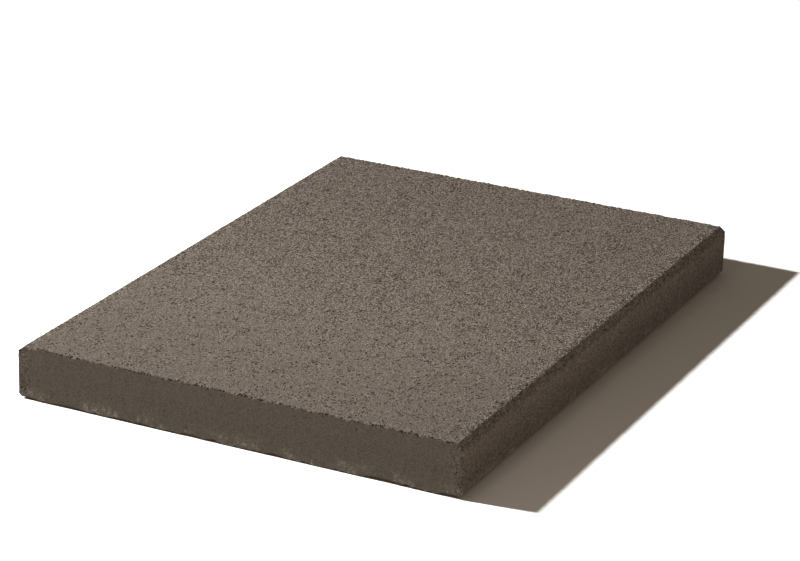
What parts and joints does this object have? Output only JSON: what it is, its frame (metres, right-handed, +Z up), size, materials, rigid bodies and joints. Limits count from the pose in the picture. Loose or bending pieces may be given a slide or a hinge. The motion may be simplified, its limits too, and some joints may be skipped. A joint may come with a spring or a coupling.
{
  "type": "wall coping stone",
  "caption": "Flat rectangular concrete slab that caps a wall, with chamfered long top arrises, plain butt ends and a flat bed.",
  "frame": {"origin": "centre of the flat underside, which lies on the wall's mortar bed", "axes": "+Y along the wall, from the near end to the far end; +X across the wall; +Z up, out of the top face"},
  "size_m": [0.35, 0.49, 0.04],
  "materials": {
    "concrete": "grey-brown pressed concrete, fine open grain on top, smoother mould-struck sides"
  },
  "bodies": {
    "root": {"coping_stone": "concrete"}
  },
  "joints": []
}
